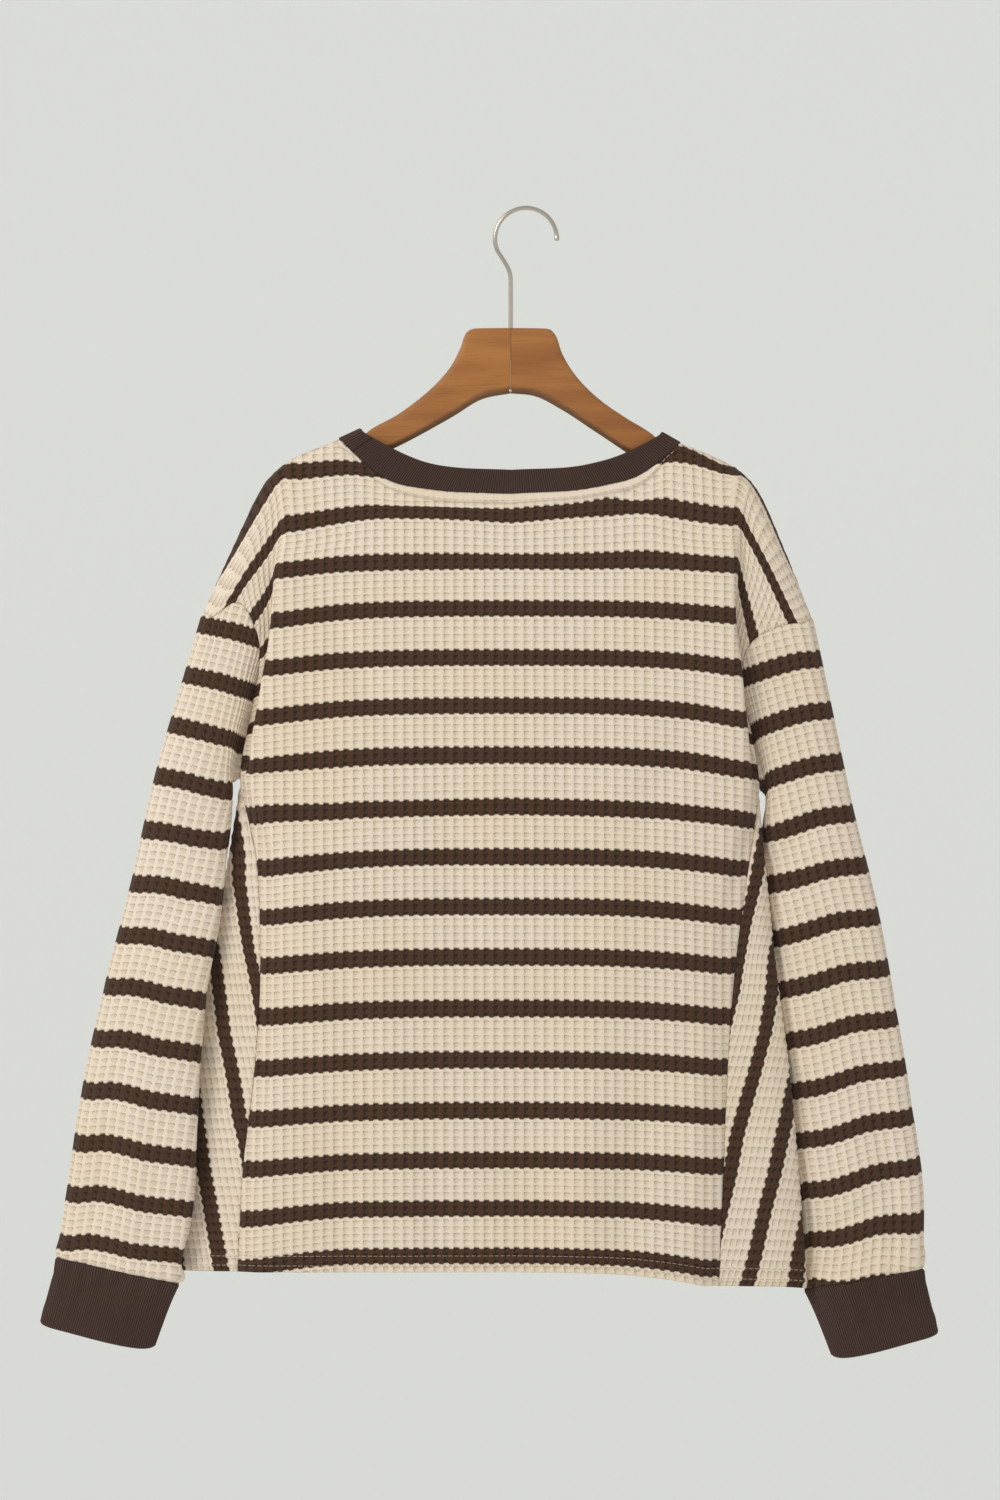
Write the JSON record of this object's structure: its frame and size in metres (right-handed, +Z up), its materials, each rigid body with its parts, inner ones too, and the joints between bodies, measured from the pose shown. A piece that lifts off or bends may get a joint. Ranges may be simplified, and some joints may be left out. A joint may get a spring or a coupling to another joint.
{
  "type": "striped waffle-knit sweatshirt on a wooden clothes hanger",
  "caption": "Long-sleeved crew-neck sweatshirt in striped waffle knit with side inserts and dark rib, hanging flat from a wooden hanger with a wire hook.",
  "frame": {"origin": "the inner top of the hanger's hook, where the rail carries it", "axes": "+Z up along the hanging garment, +X along the hanger to the right of the picture, -Y out of the side shown, which is the garment's back"},
  "size_m": [0.6882, 0.0578, 0.8854],
  "materials": {
    "waffle_knit": "matt waffle knit, cream with narrow dark brown stripes across",
    "rib_knit": "matt 1x1 rib knit, dark brown",
    "wood": "satin varnish, light brown",
    "steel": "plain drawn wire"
  },
  "bodies": {
    "root": {"back_panel": "waffle_knit", "front_panel": "waffle_knit", "side_insert_left": "waffle_knit", "side_insert_right": "waffle_knit", "sleeve_left_back": "waffle_knit", "sleeve_left_front": "waffle_knit", "sleeve_right_back": "waffle_knit", "sleeve_right_front": "waffle_knit", "cuff_left": "rib_knit", "cuff_right": "rib_knit", "neckband": "rib_knit", "hanger_arm_left": "wood", "hanger_arm_right": "wood", "hanger_hook": "steel"}
  },
  "joints": []
}
